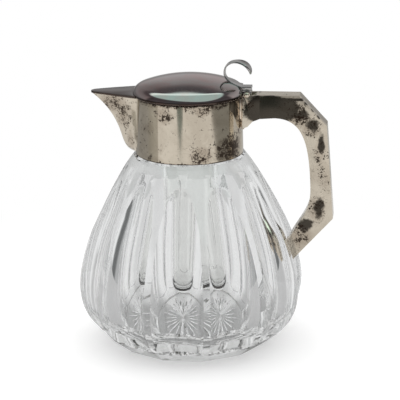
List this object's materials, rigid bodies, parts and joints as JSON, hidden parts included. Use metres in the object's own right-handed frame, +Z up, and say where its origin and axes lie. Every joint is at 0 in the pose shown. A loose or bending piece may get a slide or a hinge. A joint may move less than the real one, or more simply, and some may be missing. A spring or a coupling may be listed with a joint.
{
  "type": "claret jug",
  "caption": "Cut-glass claret jug with fluted pear body, silver-plated collar and spout, hinged domed lid with thumbpiece, hollow angular handle and lift-out ice tube.",
  "frame": {"origin": "centre of the underside, on the surface the jug stands on", "axes": "+Z up, +X towards the handle, -X towards the spout, the hinge pin along Y"},
  "size_m": [0.2217, 0.1928, 0.2506],
  "materials": {
    "crystal": "clear, polished, wheel-cut",
    "tube_glass": "clear, polished, faint olive tint",
    "silver_plate": "polished silver plate, warm, with brown-black tarnish",
    "dark_silver": "polished silver plate, evenly darkened",
    "cement": "matt plaster cement"
  },
  "bodies": {
    "jug": {"glass_body": "crystal", "collar_band": "silver_plate", "collar_rim": "silver_plate", "collar_plaster": "cement", "spout_body": "silver_plate", "hinge_bracket": "silver_plate", "hinge_pin": "silver_plate", "handle_near_half": "silver_plate", "handle_far_half": "silver_plate", "handle_root_plate": "silver_plate", "handle_foot_cap": "silver_plate"},
    "lid": {"lid_dome": "dark_silver", "lid_plate": "dark_silver", "thumbpiece": "dark_silver", "lid_lug": "dark_silver"},
    "ice_insert": {"ice_tube": "tube_glass", "ice_tube_ring": "silver_plate"}
  },
  "joints": [
    {"name": "lid_hinge", "type": "hinge", "parent": "jug", "child": "lid", "pos_m": [0.051, 0, 0.2227], "axis": [0, 1, 0], "range_deg": [0, 62]},
    {"name": "ice_tube_lift", "type": "slide", "parent": "jug", "child": "ice_insert", "axis": [0, 0, 1], "range_m": [0, 0.003]}
  ]
}
